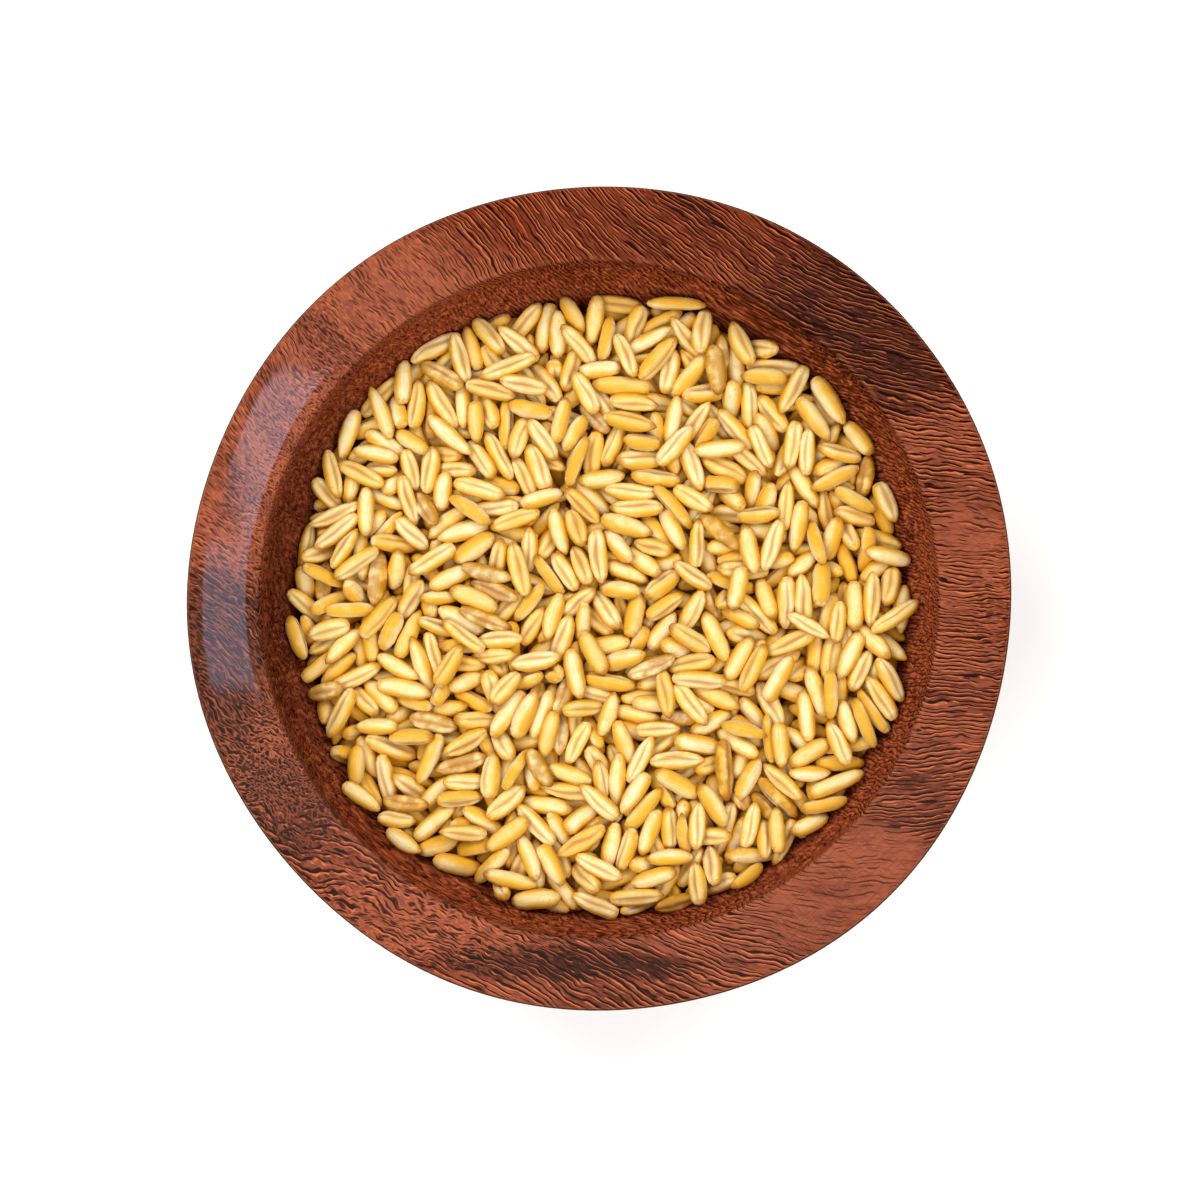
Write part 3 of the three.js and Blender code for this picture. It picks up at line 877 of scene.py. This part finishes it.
def kernels(name, members, toast, forms):
    """One piece: the kernels of one kind, each where it settled."""
    shelf = bpy.data.collections.new(name + "_forms")
    for number, form in enumerate(forms):
        shelf.objects.link(kernel_form(f"{name}_form_{number}", dice=dice, **form))
    mesh = bpy.data.meshes.new(name)
    mesh.from_pydata(centre[members].tolist(), [], [])
    size = np.stack([half_length, half_width, half_thickness], 1)[members] * MM
    for label, kind, field, values in (
        ("along", "FLOAT_VECTOR", "vector", along[members]),
        ("crease_side", "FLOAT_VECTOR", "vector", crease_side[members]),
        ("size", "FLOAT_VECTOR", "vector", size),
        ("tone", "FLOAT", "value", tone[members]),
        ("form", "INT", "value", dice.integers(0, len(forms), len(members))),
    ):
        layer = mesh.attributes.new(label, kind, "POINT")
        layer.data.foreach_set(field, np.ascontiguousarray(values).ravel())
    base = bpy.data.objects.new(name, mesh)
    bpy.context.scene.collection.objects.link(base)
    inputs = {
        "Forms": ("NodeSocketCollection", shelf),
        "Dents": ("NodeSocketFloat", 450.0),
        "Dent depth": ("NodeSocketFloat", 0.32 * MM),
        "Finish": ("NodeSocketMaterial", kernel_finish(name + "_skin", toast)),
    }
    piece = grow(base, scatter_tree(inputs), inputs)
    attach(piece, "root")
    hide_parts("oats")
    for form in list(shelf.objects):
        bpy.data.objects.remove(form)
    bpy.data.collections.remove(shelf)


shuffled = dice.permutation(KERNEL_COUNT)
taken = 0
for name, (portion, toast, forms) in KERNEL_KINDS.items():
    wanted = int(round(portion * KERNEL_COUNT))
    kernels(name, shuffled[taken:taken + wanted], toast, forms)
    taken += wanted


# ---------------------------------------------------------------------------------------------
# The table, the light and the camera, which looks almost straight down.
# ---------------------------------------------------------------------------------------------
TABLE_REACH = 3.0
CAMERA_PLACE = (0.0215, -0.059, 0.645)
CAMERA_AIM = (0.00043, -0.00101, BOWL_HEIGHT)
LENS = 118.2
SOFTBOX_SIDE = 0.8
SOFTBOX_ASIDE = 0.68
SOFTBOX_HEIGHT = 1.2
SOFTBOX_AIM = (0, 0, 0.03)

floor_mesh = bpy.data.meshes.new("table")
corners = [(x * TABLE_REACH, y * TABLE_REACH, 0) for x, y in ((-1, -1), (1, -1), (1, 1), (-1, 1))]
floor_mesh.from_pydata(corners, [], [(0, 1, 2, 3)])
floor = bpy.data.objects.new("table", floor_mesh)
bpy.context.scene.collection.objects.link(floor)
paper, w = material("white_paper")
paper_shader = w.out(
    "ShaderNodeBsdfPrincipled", {},
    {
        "Base Color": (0.96, 0.97, 0.98, 1), "Roughness": 0.8,
        "Emission Color": (1, 1, 1, 1), "Emission Strength": 0.16,
    },
)
w.node("ShaderNodeOutputMaterial", {}, {"Surface": paper_shader})
floor_mesh.materials.append(paper)

scene = bpy.context.scene
scene.view_settings.view_transform = "Standard"
camera = bpy.data.objects.new("camera", bpy.data.cameras.new("camera"))
scene.collection.objects.link(camera)
camera.location = CAMERA_PLACE
# It leans a little to the right and to the front, and keeps the Y axis upright in the picture.
backwards = (camera.location - Vector(CAMERA_AIM)).normalized()
rightwards = Vector((0, 1, 0)).cross(backwards).normalized()
upwards = backwards.cross(rightwards)
camera.rotation_euler = Matrix((rightwards, upwards, backwards)).transposed().to_euler()
camera.data.lens = LENS
scene.camera = camera


def lamp(name, place, aim, width, height, watts, colour):
    made = bpy.data.objects.new(name, bpy.data.lights.new(name, "AREA"))
    made.data.shape = "RECTANGLE"
    made.data.size = width
    made.data.size_y = height
    made.data.energy = watts
    made.data.color = colour
    made.location = place
    if aim:
        made.rotation_euler = (Vector(aim) - made.location).to_track_quat("-Z", "Y").to_euler()
    scene.collection.objects.link(made)


# Four softboxes, one above each corner of the table.
for name, right, back, watts, colour in (
    ("back_left", -1, 1, 12.5, (1.0, 0.98, 0.95)),
    ("back_right", 1, 1, 10.5, (1.0, 0.98, 0.95)),
    ("front_left", -1, -1, 12, (1.0, 0.98, 0.96)),
    ("front_right", 1, -1, 9.5, (1.0, 0.98, 0.96)),
):
    corner = (right * SOFTBOX_ASIDE, back * SOFTBOX_ASIDE, SOFTBOX_HEIGHT)
    lamp(name, corner, SOFTBOX_AIM, SOFTBOX_SIDE, SOFTBOX_SIDE, watts, colour)
# Two panes of a window above, seen only as the bluish shine on the left of the rim.
lamp("window_back", (-0.18, 0.1315, 0.645), None, 0.06, 0.087, 0.11, (0.74, 0.77, 1.0))
lamp("window_front", (-0.1985, 0.05, 0.645), None, 0.067, 0.076, 0.08, (0.62, 0.72, 1.0))
world = bpy.data.worlds.new("room")
world.use_nodes = True
world.node_tree.nodes["Background"].inputs[0].default_value = (1.0, 0.98, 0.94, 1)
world.node_tree.nodes["Background"].inputs[1].default_value = 0.16
scene.world = world
